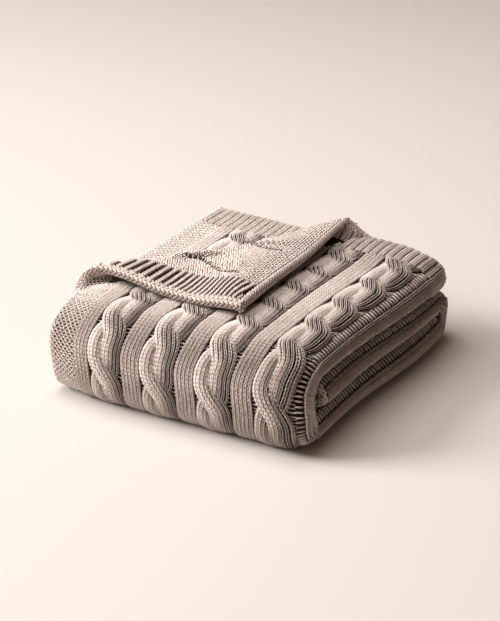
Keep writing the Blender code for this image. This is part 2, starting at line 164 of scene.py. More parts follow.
def stackPath():
    s = stack
    middleZ, topZ, half = s["bottomZ"] + s["pitch"], s["bottomZ"] + 2 * s["pitch"], s["pitch"] / 2
    bellyZ = middleZ - s["frontDrop"]
    reach = s["frontCornerY"] - s["frontTurnY"] + s["pitch"]
    return Track(
        straight((s["topBackY"], topZ), (s["frontTurnY"], topZ)),
        arc((s["frontTurnY"], bellyZ), (s["pitch"], topZ - bellyZ), 90, 180),
        arc((s["frontCornerY"], bellyZ), (reach, bellyZ - s["bottomZ"]), 180, 270),
        straight((s["frontCornerY"], s["bottomZ"]), (s["backTurnY"], s["bottomZ"])),
        arc((s["backTurnY"], s["bottomZ"] + half), (half, half), -90, 90),
        straight((s["backTurnY"], middleZ), (s["innerEndY"], middleZ)),
    )


section, path = doubledSection(), stackPath()
flatWidth, flatLength = section.length, path.length
foldLine = flatWidth / 2
topLength = stack["topBackY"] - stack["frontTurnY"]
backTurnEnd = flatLength - (stack["backTurnY"] - stack["innerEndY"])
bottomEnd = backTurnEnd - math.pi * stack["pitch"] / 2
frontTurnEnd = bottomEnd - (stack["backTurnY"] - stack["frontCornerY"])


# lengths down the stack's outer face, which is longer than the path at its turns
def outerRuns():
    standOff = stack["upperOffset"] + cloth["half"]
    faceY = path.points[:, 0] + standOff * path.slopes[:, 1]
    faceZ = path.points[:, 1] - standOff * path.slopes[:, 0]
    return np.concatenate([[0.0], np.cumsum(np.hypot(np.diff(faceY), np.diff(faceZ)))])


outerLengths = outerRuns()
runEnd = outerLengths[-1]


def runAt(along):
    return np.interp(along, path.lengths, outerLengths)


def alongAt(run):
    return np.interp(run, outerLengths, path.lengths)


def fromSides(across):
    return np.minimum(across, flatWidth - across)


ridgeStart = np.array(corner["ridgeLeft"])
ridgeRun = np.subtract(corner["ridgeBack"], ridgeStart)
ridgeLength = np.linalg.norm(ridgeRun)
ridgeAlong = ridgeRun / ridgeLength
ridgeAway = np.array([-ridgeAlong[1], ridgeAlong[0]])
flapLeft, flapBack, flapTip = [np.array(corner[key]) for key in ("flapLeft", "flapBack", "tip")]
landingRun, tipRun = flapBack - flapLeft, flapTip - flapLeft


# distance along the ridge, and distance past it towards the corner
def ridgePlace(x, y):
    dx, dy = x - ridgeStart[0], y - ridgeStart[1]
    return dx * ridgeAlong[0] + dy * ridgeAlong[1], dx * ridgeAway[0] + dy * ridgeAway[1]


cornerOn, cornerPast = ridgePlace(*corner["place"])
tipPast = ridgePlace(*corner["tip"])[1]


def rollRadius(share):
    nearLeft, nearBack = [np.clip(end, 0.0, 1.0) ** 2 for end in (1.0 - 2.0 * share, 2.0 * share - 1.0)]
    left, middle, back = [corner["radius"][key] for key in ("left", "middle", "back")]
    return middle + (left - middle) * nearLeft + (back - middle) * nearBack


def ridgeLift(share):
    left, back = corner["leftLift"], corner["backLift"]
    lifted = sum(side["height"] * hump(share, side["rise"], side["fall"]) for side in (left, back))
    return lifted, np.where(share < 0.5, left["slope"], back["slope"])


# how far round the roll and how far out on the flap, as shares, and the place's
# share of the ridge's length, which runs from 0 to 1 between the cloth's edges
def laidPlace(on, past):
    depth = past / cornerPast
    turned = np.clip(depth / corner["rollShare"], 0.0, 1.0)
    laid = np.maximum((depth - corner["rollShare"]) / (1.0 - corner["rollShare"]), 0.0)
    rolledDepth = np.clip(depth, 0.0, corner["rollShare"])
    reach = (on - cornerOn * depth) / (ridgeLength * (1.0 - rolledDepth))
    share = np.clip(reach / np.clip(1.0 - laid, 1e-4, None), 0.0, 1.0)
    return reach, turned, laid, share, share + (cornerOn / ridgeLength - share) * rolledDepth


def turnCorner(x, y, z, lift):
    reach, turned, laid, share, ridgeShare = laidPlace(*ridgePlace(x, y))
    radius = rollRadius(ridgeShare)
    lifted, _ = ridgeLift(ridgeShare)
    inside = radius - lift
    settled = smooth(-tipPast * laid, 0.0, corner["settleLength"])
    flapRise = (lifted + 2.0 * radius) * (1.0 - settled) + corner["restHeight"] * settled - lift
    rollRise = lifted + radius - inside * np.cos(math.pi * turned)
    rise = np.where(turned < 1.0, rollRise, flapRise)
    arched = np.sin(math.pi * np.clip(laid, 0.0, 1.0))
    crease = 1.0 + np.cos(corner["creaseTurns"] * share + corner["creaseLean"] * laid)
    crease = corner["crease"] * arched * crease
    outward = inside * np.sin(math.pi * turned) * (turned < 1.0)
    over = turned ** corner["lean"]
    placed = []
    for axis in (0, 1):
        leaves = ridgeStart[axis] + ridgeRun[axis] * reach
        lands = flapLeft[axis] + landingRun[axis] * reach + tipRun[axis] * laid
        placed.append(leaves + (lands - leaves) * over + ridgeAway[axis] * outward)
    return placed[0] + corner["bulge"] * arched * share ** 2, placed[1], z - lift + rise + crease


def slump(x, y, z):
    e = ease
    waist = e["waist"] * np.cos(2.0 * math.pi * (y - e["waistY"]) / e["waistLength"]) + e["waistShift"]
    newX = x + smooth(x, *e["waistX"]) * waist
    newX = newX + e["sway"] * np.sin(2.0 * math.pi * z / e["swayHeight"] + e["swayTurn"] * y)
    newY = y + e["pull"] * (1.0 - smooth(x, *e["pullX"])) * smooth(-y, *e["pullFront"])
    droop = e["droop"] * smooth(x, *e["droopX"]) * smooth(y, *e["droopY"]) * smooth(z, *e["droopZ"])
    waves = np.sin(e["waveTurns"][0] * x + e["waveShift"]) * np.cos(e["waveTurns"][1] * y)
    newZ = z - droop + e["wave"] * waves * smooth(z, *e["waveZ"])
    return newX, newY, np.maximum(newZ, 0.0)


boxLow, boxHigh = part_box("knit_blanket")
boxMiddle = ((boxLow.x + boxHigh.x) / 2, (boxLow.y + boxHigh.y) / 2)


def skewAt(x):
    return ease["skewLeft"] - ease["skewSpan"] * (x - stack["leftX"]) / (stack["foldX"] - stack["leftX"])


# places on the flat cloth, carried to where they lie in the folded throw
def carry(across, along, lift):
    across, along, lift = np.broadcast_arrays(across, along, lift)
    x, offset = section.point(across)
    slope = section.slope(across)
    y, z = path.point(along)
    run = path.slope(along)
    upper, onTop = across <= foldLine, along <= topLength
    fromEnd = np.minimum(along, flatLength - along)
    closing = ease["sideClosing"] * (1.0 - smooth(fromSides(across), 0.0, ease["closingWidth"]))
    closing = np.maximum(closing, ease["endClosing"] * (1.0 - smooth(fromEnd, 0.0, ease["closingWidth"])))
    offset = offset * (1.0 - closing / stack["upperOffset"])
    gap = stack["lowerOffset"] + stack["upperOffset"] - ease["baredGap"]
    swell = gap * smooth(ridgePlace(x, y)[1], *ease["baredSlope"])
    offset = offset + np.where(onTop & ~upper, swell, 0.0)
    loose = ease["backSwell"] * smooth(y, *ease["swellY"]) * (1.0 - smooth(x, *ease["swellX"]))
    offset = offset + np.where(onTop & upper, loose, 0.0)
    skew = np.where(onTop, skewAt(x) * (1.0 - along / topLength) ** 2, 0.0)
    flatY = y + skew
    standOff = offset + lift * slope[0]
    newX = x - lift * slope[1]
    newY = flatY + standOff * run[1]
    newZ = z - standOff * run[0]
    turned = turnCorner(x, flatY, newZ, lift)
    on, past = ridgePlace(x, flatY)
    lifted, slopeWidth = ridgeLift(on / ridgeLength)
    newZ = newZ + np.where(onTop & upper, lifted * smooth(past, -slopeWidth, 0.0), 0.0)
    rolled = onTop & upper & (past > 0.0)
    placed = [np.where(rolled, over, plain) for over, plain in zip(turned, (newX, newY, newZ))]
    x, y, z = slump(*placed)
    middleX, middleY = stack["middle"]
    return np.stack([x - middleX + boxMiddle[0], y - middleY + boxMiddle[1], z], axis=-1)


# The flap's own plan, which goes on past the roll as if the roll were rolled out
planScale = landingRun[0] * tipRun[1] - landingRun[1] * tipRun[0]
tipOut = abs(planScale) / np.linalg.norm(landingRun)


def flapToCloth(x, y):
    dx, dy = x - flapLeft[0], y - flapLeft[1]
    reach = (dx * tipRun[1] - dy * tipRun[0]) / planScale
    laid = (dy * landingRun[0] - dx * landingRun[1]) / planScale
    turned = 1.0 + laid * tipOut / (math.pi * rollRadius(np.clip(reach, 0.0, 1.0)))
    rolled = corner["rollShare"]
    depth = np.where(laid > 0.0, rolled + laid * (1.0 - rolled), rolled * turned)
    flatOn = cornerOn * depth + reach * ridgeLength * (1.0 - np.minimum(depth, rolled))
    flatPast = cornerPast * depth
    flatX = ridgeStart[0] + ridgeAlong[0] * flatOn + ridgeAway[0] * flatPast
    flatY = ridgeStart[1] + ridgeAlong[1] * flatOn + ridgeAway[1] * flatPast
    along = stack["topBackY"] - flatY
    for step in range(4):     # the skew depends on the answer, so it is found step by step
        along = stack["topBackY"] - flatY + skewAt(flatX) * (1.0 - along / topLength) ** 2
    return flatX - stack["leftX"], along


frontRun, rightRun = [run / np.linalg.norm(run) for run in (flapTip - flapLeft, flapBack - flapTip)]


def fromEdge(x, y, start, run):
    return (x - start[0]) * -run[1] + (y - start[1]) * run[0]


# the distances in from the flap's front and right edges
def flapEdges(x, y):
    return fromEdge(x, y, flapLeft, frontRun), fromEdge(x, y, flapTip, rightRun)


def planPlace(across, along):
    return across + stack["leftX"], stack["topBackY"] - along


def pastRidge(across, along):
    return ridgePlace(*planPlace(across, along))[1]


def flapPlan(across, along):
    x, y = planPlace(across, along)
    y = y + skewAt(x) * (1.0 - along / topLength) ** 2
    reach, turned, laid, _, _ = laidPlace(*ridgePlace(x, y))
    unrolled = math.pi * rollRadius(np.clip(reach, 0.0, 1.0)) * (1.0 - turned)
    laid = np.where(laid > 0.0, laid, -unrolled / tipOut)
    return [flapLeft[k] + landingRun[k] * reach + tipRun[k] * laid for k in (0, 1)]


print(f"cloth {flatWidth:.3f} x {flatLength:.3f} m, top layer {topLength:.3f} m")

# What shows of the cloth, and how much of its height the pattern keeps
shown = {
    "underFlap": 0.024,       # stitches reach this far in under the flap
    "rollDepth": 0.034, "rollReach": 0.060,     # and this far round the roll and along it
    "sideReach": 0.075,       # either side of the lengthwise fold, on the lower layers
    "rimReach": 0.024,        # in from the side edges, on the lower layers
    "lowerReach": 0.045,      # past the lengthwise fold, on the lower layers' inner face
    "frontMargin": 0.006, "turnMargin": 0.02, "baredMargin": 0.004,
    "coverSlope": (0.012, 0.028), "baredSlope": (0.010, 0.030), "flapSlope": (0.0, 0.02),
    "ridgeShare": 0.7, "ridgeSlope": (-0.015, 0.010), "ridgeFade": 0.06,
    "frontFade": 0.86, "turnFade": 0.01, "sideShare": 0.75, "sideSlope": (0.030, 0.055), "foldOver": 0.03,
}


def around(place):
    return place - shown["turnFade"], place + shown["turnFade"]


def outerShare(across, along):
    upper, onTop = across <= foldLine, along <= topLength
    covered = smooth(np.minimum(*flapEdges(*planPlace(across, along))), *shown["coverSlope"])
    nearRidge = shown["ridgeShare"] * smooth(pastRidge(across, along), *shown["ridgeSlope"])
    nearRidge = nearRidge * smooth(topLength - along, 0.0, shown["ridgeFade"])
    share = 1.0 - np.maximum(covered, nearRidge) * (onTop & upper)
    fadeStart = topLength + shown["frontFade"] * (frontTurnEnd - topLength)
    share = share * (1.0 - smooth(along, fadeStart, frontTurnEnd))
    nearFold = 1.0 - smooth(np.abs(across - foldLine), *shown["sideSlope"])
    inTurn = hump(along, around(bottomEnd), around(backTurnEnd))
    lower = np.maximum(shown["sideShare"] * nearFold, inTurn * upper)
    return np.where(along < frontTurnEnd, share * (upper | (across < foldLine + shown["foldOver"])), lower)


def seenOuter(across, along):
    x, y = planPlace(across, along)
    on, past = ridgePlace(x, y)
    under = np.minimum(*flapEdges(x, y)) > shown["underFlap"]
    upper, onTop = across <= foldLine, along <= topLength
    depth = past / cornerPast
    fromEnds = np.minimum(on - cornerOn * depth, ridgeLength * (1.0 - depth) + cornerOn * depth - on)
    inRoll = (past > 0.0) & (past < shown["rollDepth"]) & (fromEnds < shown["rollReach"])
    top = onTop & upper & (((past <= 0.0) & ~under) | inRoll)
    frontEnd = frontTurnEnd - shown["frontMargin"]
    front = (along > topLength) & (along < frontEnd) & upper
    nearFold = np.abs(across - foldLine) < shown["sideReach"]
    side = nearFold & ~upper & (along < frontTurnEnd)
    lower = (along > frontEnd) & nearFold & (upper | (across < foldLine + shown["lowerReach"]))
    back = (along > bottomEnd - shown["turnMargin"]) & (along < backTurnEnd + shown["turnMargin"]) & upper
    rim = (fromSides(across) < shown["rimReach"]) & (along > frontTurnEnd - shown["turnMargin"])
    return top | front | side | lower | back | rim


# the lower sheet, where turning the corner over bares it; seen from its other side edge
def seenBared(across, along):
    past = pastRidge(flatWidth - across, along)
    return (across > foldLine) & (along < topLength) & (past > shown["baredMargin"])


# Cables: two strands that cross at every turn, the front one standing higher
strand = {"shift": 0.0226, "half": 0.0166, "steady": 0.86, "front": 0.19, "behind": -0.32,
          "turnStart": 0.06, "turnEnd": 0.84, "wales": 6, "reach": math.radians(72), "flat": 0.32,
          "steps": 60, "turnSteps": 361,
          "hidden": 0.0014,                 # a leg this far below the other strand is left out
          "leanOut": 0.6, "leanDown": 0.3}  # legs on a strand's sides lean away from its middle


# a strand's offset from the cable's middle, its height as a share, and its half-width
def strandRun(front, cycle, crossing):
    length = strand["turnEnd"] - strand["turnStart"]
    place = np.clip((cycle - strand["turnStart"]) / length, 0.0, 1.0)
    shift = place ** 3 * (10.0 - 15.0 * place + 6.0 * place * place) - 0.5
    slope = 30.0 * (place * (1.0 - place)) ** 2 / length * strand["shift"] / crossing
    lean = np.sin(math.pi * np.clip(cycle, 0.0, 1.0)) ** 2
    centre = np.where(front, shift, -shift) * strand["shift"]
    half = strand["half"] * np.sqrt(1.0 + slope * slope)
    return centre, strand["steady"] + np.where(front, strand["front"], strand["behind"]) * lean, half


def strandRounding(offset, centre, half):
    return np.clip(1.0 - ((offset - centre) / half) ** 2, 0.0, 1.0) ** (strand["flat"] / 2)


def cableMiddle(number):
    return cloth["cableStart"] + number * cloth["repeat"] + cloth["cableWidth"] / 2


def cableCycle(number, run):
    number = np.clip(number, 0, cloth["cables"] - 1).astype(int)
    crossing = np.array(cloth["crossings"])[number]
    cycle = (run - np.array(cloth["firstCrossings"])[number]) / crossing
    return cycle - np.floor(cycle), crossing


def cableRise(number, offset, run):
    cycle, crossing = cableCycle(number, run)
    rise = 0.0
    for front in (True, False):
        centre, height, half = strandRun(front, cycle, crossing)
        rise = np.maximum(rise, height * strandRounding(offset, centre, half))
    return cloth["cableRise"] * rise


ladder = {"start": cloth["cableStart"] + 3 * cloth["repeat"] + cloth["cableWidth"] + 0.002,
          "end": foldLine - 0.0075, "sunk": 0.0004, "rise": 0.0008, "row": 0.0084, "firstRow": 0.004,
          "bar": {"length": 0.0120, "width": 0.0036, "height": 0.0040, "sink": -0.0014}}
# The grooves beside the cables are crossed by a purl bar at each row: a short tooth where
# the strands lie wide, longer bars that stand higher where they cross
groove = {"slope": (0.0014, 0.0044), "before": 0.005, "sunk": 0.0026, "hemFade": 0.012,
          "side": 0.0312, "overlap": 0.0016, "rise": -0.0012, "turning": 0.12,
          "raise": 0.30, "raiseFrom": 0.004, "raiseMost": 0.0030, "reach": 0.002, "shortest": 0.004,
          "bar": {"width": 0.0028, "height": 0.0024, "sink": -0.0022}}


# height of the pattern at a distance from the nearer side edge
def sideRise(d, along):
    rise = np.where(d < cloth["mossWidth"], cloth["mossRise"], cloth["bandRise"])
    place = d - cloth["cableStart"]
    number = np.floor(place / cloth["repeat"])
    offset = place - number * cloth["repeat"]
    onCable = (place >= 0) & (number < cloth["cables"]) & (offset < cloth["cableWidth"])
    rise = np.where(onCable, cableRise(number, offset - cloth["cableWidth"] / 2, runAt(along)), rise)
    gap = np.min([np.abs(offset - edge) for edge in (0.0, cloth["cableWidth"], cloth["repeat"])], axis=0)
    sunk = (1.0 - smooth(gap, *groove["slope"])) * ((place > -groove["before"]) & (number < cloth["cables"]))
    sunk = sunk * smooth(along, cloth["hem"], cloth["hem"] + groove["hemFade"])
    rise = rise * (1.0 - sunk) - groove["sunk"] * sunk
    return np.where((d > ladder["start"]) & (d < ladder["end"]), -ladder["sunk"], rise)


# a valley halfway between each two ribs, 0 on a rib and 1 at its bottom
def valley(turns):
    return 0.5 - 0.5 * np.cos(2.0 * math.pi * turns)


# the hem's broad round ribs, with narrow valleys between them
def hemRise(d, along):
    ribs = cloth["ribRise"] * (1.0 - valley((d - cloth["cableStart"]) / cloth["ribPitch"]) ** 2.0)
    return ribs * (cloth["castOffShare"] + (1.0 - cloth["castOffShare"]) * smooth(along, *cloth["castOff"]))


# The flap's ribs draw together along its front edge
flapHem = {"start": 0.0095, "end": 0.069, "wide": 0.0152, "close": 0.0092, "closing": (0.06, 0.17),
           "rise": 0.0050, "closeRise": 0.0036, "sharp": 0.9, "mossWidth": 0.062, "rim": 0.0085,
           "rest": 0.0012}
ribFine = np.linspace(-0.02, 0.50, 600)
ribPitches = flapHem["wide"] + (flapHem["close"] - flapHem["wide"]) * smooth(ribFine, *flapHem["closing"])
ribCounts = np.concatenate([[0.0], np.cumsum(np.diff(ribFine) / ribPitches[1:])])

# Soft folds on the flap, each a raised line from one place to another, and rows of small
# holes beside them, measured along the front edge and in from it
folds = [{"from": (0.062, 0.112), "to": (0.120, 0.170), "height": 0.0075, "front": 0.007, "back": 0.018},
         {"from": (0.141, 0.236), "to": (0.200, 0.232), "height": 0.0060, "front": 0.006, "back": 0.018},
         {"from": (0.140, 0.133), "to": (0.186, 0.130), "height": 0.0035, "front": 0.012, "back": 0.012}]
foldEnds = ((-0.15, 0.25), (0.70, 1.10))      # as shares of a fold's length
holes = {"half": 0.0046, "fade": 0.01, "sunk": 0.0028, "spread": 0.007, "threadPitch": 0.0070,
         "thread": {"length": 0.0104, "width": 0.0018, "height": 0.0016, "sink": 0.0}}
holeLines = [np.array(line) for line in (
    [(0.074, 0.126), (0.086, 0.127), (0.098, 0.134), (0.119, 0.125), (0.161, 0.097), (0.202, 0.090)],
    [(0.126, 0.239), (0.167, 0.214), (0.188, 0.206), (0.204, 0.211)])]


def foldRise(run, fromFront):
    rise = 0.0
    for fold in folds:
        start, end = np.array(fold["from"]), np.array(fold["to"])
        length = np.linalg.norm(end - start)
        first, second = (end - start) / length
        on = ((run - start[0]) * first + (fromFront - start[1]) * second) / length
        off = (fromFront - start[1]) * first - (run - start[0]) * second
        width = np.where(off < 0.0, fold["front"], fold["back"])
        rise = rise + fold["height"] * hump(on, *foldEnds) * np.exp(-(off / width) ** 2)
    for line in holeLines:
        first, last = line[0, 0], line[-1, 0]
        fade = holes["fade"]
        ends = hump(run, (first - fade, first + fade), (last - fade, last + fade))
        off = fromFront - np.interp(run, line[:, 0], line[:, 1])
        rise = rise - holes["sunk"] * ends * np.exp(-(off / holes["spread"]) ** 2)
    return rise


# distances along the flap's front edge and in from it
def flapRunDepth(x, y):
    run = (x - flapLeft[0]) * frontRun[0] + (y - flapLeft[1]) * frontRun[1]
    return run, fromEdge(x, y, flapLeft, frontRun)


# the stitches leave the holes open but for a thread between each two
def inHoles(run, fromFront):
    found = np.zeros(run.shape, bool)
    for line in holeLines:
        near = np.abs(fromFront - np.interp(run, line[:, 0], line[:, 1])) < holes["half"]
        found |= near & (run > line[0, 0]) & (run < line[-1, 0])
    return found


def flapRiseAt(across, along):
    x, y = flapPlan(across, along)
    run, fromFront = flapRunDepth(x, y)
    fromRight = fromEdge(x, y, flapTip, rightRun)
    inHem = (fromFront > flapHem["start"]) & (fromFront < flapHem["end"]) & (fromRight > flapHem["rim"])
    closing = smooth(run, *flapHem["closing"])
    depth = flapHem["rise"] + (flapHem["closeRise"] - flapHem["rise"]) * closing
    between = valley(np.interp(run, ribFine, ribCounts)) ** (flapHem["sharp"] * (1.0 + closing))
    folded = flapHem["rest"] + foldRise(run, fromFront)
    return np.where(inHem, depth * (1.0 - between) - flapHem["rest"], folded)


def clothRise(across, along, outer):
    d = fromSides(across)
    rise = np.where(along < cloth["hem"], hemRise(d, along), sideRise(d, along))
    past = pastRidge(d, along)
    upper, onTop = across <= foldLine, along <= topLength
    bared = rise * smooth(past, *shown["baredSlope"]) * (onTop & ~upper)
    onFlap = onTop & upper & (past > 0.0)
    inner = np.where(onFlap, flapRiseAt(across, along) * smooth(past, *shown["flapSlope"]), bared)
    return np.where(outer, rise * outerShare(across, along), inner)


# Colours are sRGB hex, turned to linear
def hexColour(code):
    parts = [int(code[k:k + 2], 16) / 255 for k in (1, 3, 5)]
    return [p / 12.92 if p <= 0.04045 else ((p + 0.055) / 1.055) ** 2.4 for p in parts] + [1.0]


def newMaterial(name, **settings):
    material = bpy.data.materials.new(name)
    material.use_nodes = True
    shader = material.node_tree.nodes["Principled BSDF"]
    for socket, value in settings.items():
        shader.inputs[socket].default_value = value
    return material, material.node_tree, shader


def addNode(tree, kind, settings, links):
    node = tree.nodes.new(kind)
    for name, value in settings.items():
        if isinstance(name, str) and hasattr(node, name):
            setattr(node, name, value)
        else:
            node.inputs[name].default_value = value
    for socket, source in links.items():
        tree.links.new(source, node.inputs[socket])
    return node


# Heathered cotton and acrylic yarn, ring spun and plied: pale and dark fibres mixed in
# each strand, a soft nap, and no shine. The fibres' flecks are drawn 2.2 mm long and the
# nap 0.8 mm, as coarse as they need to show; the uneven dyeing is 45 mm across
yarnLook = {"fleck": 0.0022, "fleckShare": 0.22, "cloud": 0.045, "cloudShare": 0.30, "palest": 0.46,
            "nap": 0.0008, "plies": 1.3, "plyWander": 0.4, "bump": 0.5, "bumpHeight": 0.0004,
            "finish": {"Sheen Roughness": 0.5, "Specular IOR Level": 0.25}}


def yarnMaterial(name, light, dark, roughness, sheen):
    look = yarnLook
    settings = {"Roughness": roughness, "Sheen Weight": sheen, **look["finish"]}
    material, tree, shader = newMaterial(name, **settings)
    place = addNode(tree, "ShaderNodeTexCoord", {}, {}).outputs["Object"]
    fleck, cloud, nap = [
        addNode(tree, "ShaderNodeTexNoise", {"Scale": 1 / look[key], "Detail": detail}, {"Vector": place})
        for key, detail in (("fleck", 3.0), ("cloud", 2.0), ("nap", 2.0))]
    mixed = addNode(tree, "ShaderNodeAttribute", {"attribute_name": "tone"}, {}).outputs["Fac"]
    for noise, share in ((fleck, look["fleckShare"]), (cloud, look["cloudShare"])):
        mixed = addNode(tree, "ShaderNodeMath", {"operation": "MULTIPLY_ADD", 1: share},
                        {0: noise.outputs["Fac"], 2: mixed}).outputs[0]
    span = {"From Min": 0.0, "From Max": look["palest"]}
    ramp = addNode(tree, "ShaderNodeMapRange", span, {"Value": mixed})
    colours = {"data_type": "RGBA", 6: hexColour(dark), 7: hexColour(light)}
    colour = addNode(tree, "ShaderNodeMix", colours, {0: ramp.outputs[0]})
    tree.links.new(colour.outputs[2], shader.inputs["Base Color"])
    strandMap = addNode(tree, "ShaderNodeUVMap", {"uv_map": "strand"}, {}).outputs[0]
    twist = {"wave_type": "BANDS", "bands_direction": "DIAGONAL", "Scale": look["plies"],
             "Distortion": look["plyWander"]}
    plies = addNode(tree, "ShaderNodeTexWave", twist, {"Vector": strandMap})
    height = addNode(tree, "ShaderNodeMath", {"operation": "ADD"},
                     {0: plies.outputs["Fac"], 1: nap.outputs["Fac"]})
    relief = {"Strength": look["bump"], "Distance": look["bumpHeight"]}
    bump = addNode(tree, "ShaderNodeBump", relief, {"Height": height.outputs[0]})
    tree.links.new(bump.outputs[0], shader.inputs["Normal"])
    return material


# the second is the same yarn between the stitches, painted darker as painted shade, and with its nap pressed
# flat
yarns = {"heatheredYarn": {"light": "#E9DDD7", "dark": "#BBACA5", "roughness": 0.92, "sheen": 0.2},
         "heatheredYarnPaintedShade": {"light": "#A3948A", "dark": "#32251F", "roughness": 0.95,
                                          "sheen": 0.0}}
yarn, paintedShadeYarn = [yarnMaterial(name, **values) for name, values in yarns.items()]
print("materials made")

# The cloth's ground, below the stitches: fine where it shows, coarse where layers hide it
ground = {"sunk": 0.0032, "edge": (0.0, 0.0006, 0.0022), "inset": 0.005, "rim": 0.006, "rimShare": 0.25,
          "column": 0.0031, "coarseColumn": 0.016, "baredColumn": 0.00372, "baredWidth": 0.27,
          "baredGap": 0.004, "pastFold": (0.045, 0.055),
          "topRow": 0.00544, "row": 0.0064, "coarseRow": 0.014, "topGap": 0.006,
          # painted shade: lighter where the ground lies shallow, darker where it is deep
          "lighter": 0.14, "darker": -0.44}


def evenly(start, end, spacing):
    return np.linspace(start, end, max(2, round((end - start) / spacing) + 1))


def groundGrid():
    g = ground
    edge, baredStart = np.array(g["edge"]), flatWidth - g["baredWidth"]
    columns = np.concatenate([
        edge, evenly(g["inset"], foldLine + g["pastFold"][0], g["column"]),
        evenly(foldLine + g["pastFold"][1], baredStart, g["coarseColumn"]),
        evenly(baredStart + g["baredGap"], flatWidth - g["inset"], g["baredColumn"]), flatWidth - edge[::-1]])
    stretches = [(topLength + g["topGap"], frontTurnEnd, "row"), (frontTurnEnd, bottomEnd, "coarseRow"),
                 (bottomEnd, backTurnEnd, "row")]
    rows = np.concatenate([
        edge, evenly(g["inset"], topLength, g["topRow"]),
        *[evenly(start, end, g[key])[:-1] for start, end, key in stretches],
        evenly(backTurnEnd, flatLength - g["inset"], g["coarseRow"]), flatLength - edge[::-1]])
    return columns, rows


def meshFromArrays(name, points, faces, material, tones, strandMap=None):
    mesh = bpy.data.meshes.new(name)
    mesh.vertices.add(len(points))
    mesh.vertices.foreach_set("co", np.ascontiguousarray(points, np.float32).ravel())
    mesh.loops.add(faces.size)
    mesh.loops.foreach_set("vertex_index", np.ascontiguousarray(faces, np.int32).ravel())
    mesh.polygons.add(len(faces))
    mesh.polygons.foreach_set("loop_start", np.arange(0, faces.size, faces.shape[1], dtype=np.int32))
    mesh.update(calc_edges=True)
    mesh.validate()
    mesh.shade_smooth()
    tone = mesh.attributes.new("tone", "FLOAT", "POINT")
    tone.data.foreach_set("value", tones.astype(np.float32))
    uvMap = mesh.uv_layers.new(name="strand")
    if strandMap is not None:
        uvMap.data.foreach_set("uv", np.ascontiguousarray(strandMap, np.float32).ravel())
    mesh.materials.append(material)
    piece = bpy.data.objects.new(name, mesh)
    bpy.context.scene.collection.objects.link(piece)
    return piece


def roundedRim(distance):
    share = np.clip(distance / ground["rim"], 0.0, 1.0)
    return np.sqrt(np.clip(1.0 - (1.0 - share) ** 2, 0.0, 1.0))


# painted shade on the ground: lighter where it lies shallow, under seed stitch and on the flap, and darker in
# the grooves
def groundPaintedShade(across, along, outer):
    run, fromFront = flapRunDepth(*flapPlan(across, along))
    onFlap = (along < topLength) & (across < foldLine) & (not outer)
    purl = (fromFront > flapHem["end"]) & ~inHoles(run, fromFront)
    inMoss = (fromSides(across) < cloth["mossWidth"]) & (along > cloth["hem"])
    shallow = np.where(onFlap, purl, inMoss)
    return np.where(shallow, ground["lighter"], ground["darker"])


def makeGround():
    columns, rows = groundGrid()
    across, along = np.meshgrid(columns, rows, indexing="ij")
    share = roundedRim(fromSides(across)) * roundedRim(np.minimum(along, flatLength - along))
    share = ground["rimShare"] + (1.0 - ground["rimShare"]) * share
    faces, shades = [], []
    for outer in (True, False):
        shades.append(groundPaintedShade(across, along, outer).ravel())
        rise = clothRise(across, along, np.full(across.shape, outer))
        lift = (cloth["half"] - ground["sunk"] + rise) * share
        faces.append(carry(across, along, lift if outer else -lift).reshape(-1, 3))
    wide, long = len(columns), len(rows)
    index = np.arange(wide * long).reshape(wide, long)
    quads = np.stack([index[:-1, :-1], index[1:, :-1], index[1:, 1:], index[:-1, 1:]], axis=-1).reshape(-1, 4)
    loop = np.concatenate([index[:-1, 0], index[-1, :-1], index[:0:-1, -1], index[0, :0:-1]])
    nextOne = np.roll(loop, -1)
    count = wide * long
    walls = np.stack([loop, loop + count, nextOne + count, nextOne], axis=-1)
    allFaces = np.vstack([quads, quads[:, ::-1] + count, walls])
    # the ground is the yarn painted dark as the shade between the stitches
    piece = meshFromArrays("knitGround", np.vstack(faces), allFaces, paintedShadeYarn, np.concatenate(shades))
    form = bmesh.new()
    form.from_mesh(piece.data)
    bmesh.ops.recalc_face_normals(form, faces=form.faces[:])
    form.to_mesh(piece.data)
    form.free()
    print(f"ground: {2 * len(allFaces)} triangles")
    return piece


knitGround = makeGround()

# One leg of a stitch: a closed leaf with its two ends tucked down. Its ends and sides are painted darker, as
# painted shade between the stitches, and its crest a little lighter, as painted highlight
leaf = {"stations": (-0.33, 0.0, 0.33), "fat": (0.92, 1.0, 0.92), "sideHeight": 0.10, "endHeight": 0.20,
        "endPaintedShade": -0.38, "sidePaintedShade": -0.24, "crestPaintedHighlight": 0.05, "mapCentre": 0.2}


def legShape():
    points = [(-0.5, 0.0, leaf["endHeight"])]
    for place, size in zip(leaf["stations"], leaf["fat"]):
        points += [(place, -0.5 * size, leaf["sideHeight"]), (place, 0.0, size),
                   (place, 0.5 * size, leaf["sideHeight"])]
    points.append((0.5, 0.0, leaf["endHeight"]))
    faces, last, rings = [], len(points) - 1, len(leaf["stations"])
    for k in range(rings - 1):
        for m in range(3):
            a, b = 1 + 3 * k + m, 1 + 3 * k + (m + 1) % 3
            faces += [(a, b, b + 3), (a, b + 3, a + 3)]
    for m in range(3):
        faces += [(0, 1 + (m + 1) % 3, 1 + m), (last, last - 3 + m, last - 3 + (m + 1) % 3)]
    # painted shade on the sides and ends, painted highlight on the crest
    ringPaintedShade = [leaf["sidePaintedShade"], leaf["crestPaintedHighlight"], leaf["sidePaintedShade"]]
    tone = np.array([leaf["endPaintedShade"]] + ringPaintedShade * rings + [leaf["endPaintedShade"]])
    return {"points": np.array(points), "faces": np.array(faces), "tone": tone}


leg = legShape()
chance = np.random.default_rng(7)
batches = {}
